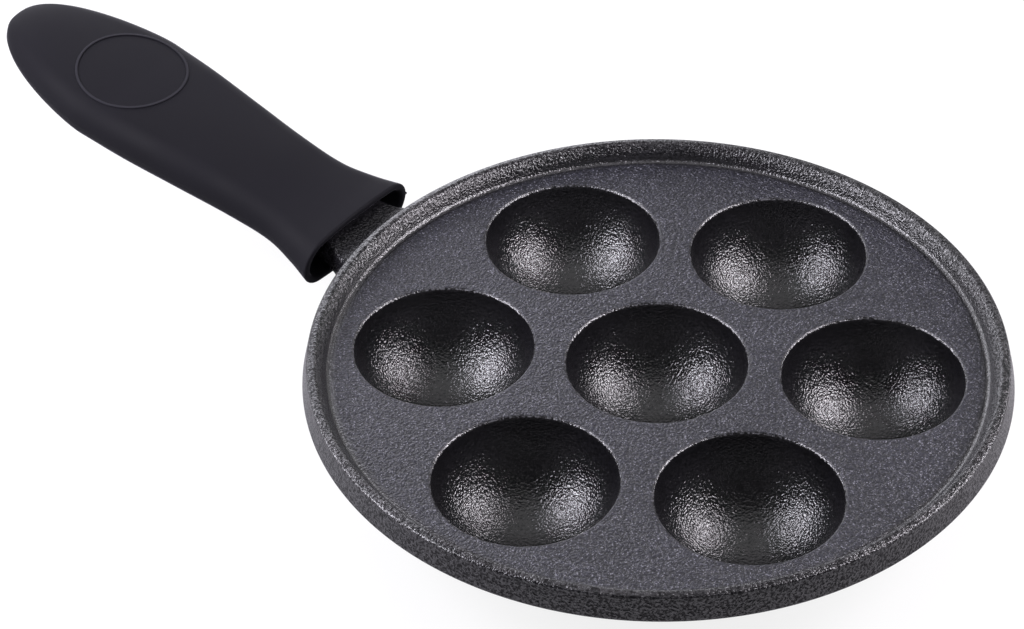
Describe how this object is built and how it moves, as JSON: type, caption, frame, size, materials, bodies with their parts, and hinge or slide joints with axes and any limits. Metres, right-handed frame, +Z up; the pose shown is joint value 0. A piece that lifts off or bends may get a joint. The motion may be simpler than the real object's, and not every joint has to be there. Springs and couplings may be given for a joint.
{
  "type": "aebleskiver pan",
  "caption": "Round cast-iron pan with half-ball cups sunk in a flat plate, a low raised rim and a straight rising handle under a slip-on silicone sleeve.",
  "frame": {"origin": "on the resting plane under the middle of the centre cup", "axes": "+Z up; the handle leaves the rim along -X and rises as it goes"},
  "size_m": [0.4023, 0.2306, 0.0574],
  "materials": {
    "seasoned_iron": "seasoned cast iron, sand-cast grain on the rim and handle, ground matte plate, glossy cups",
    "silicone": "matte moulded silicone"
  },
  "bodies": {
    "pan": {"cast_pan": "seasoned_iron"},
    "sleeve": {"handle_sleeve": "silicone"}
  },
  "joints": [
    {"name": "sleeve_slide", "type": "slide", "parent": "pan", "child": "sleeve", "axis": [-0.9873, 0, 0.159], "range_m": [0, 0.155]}
  ]
}
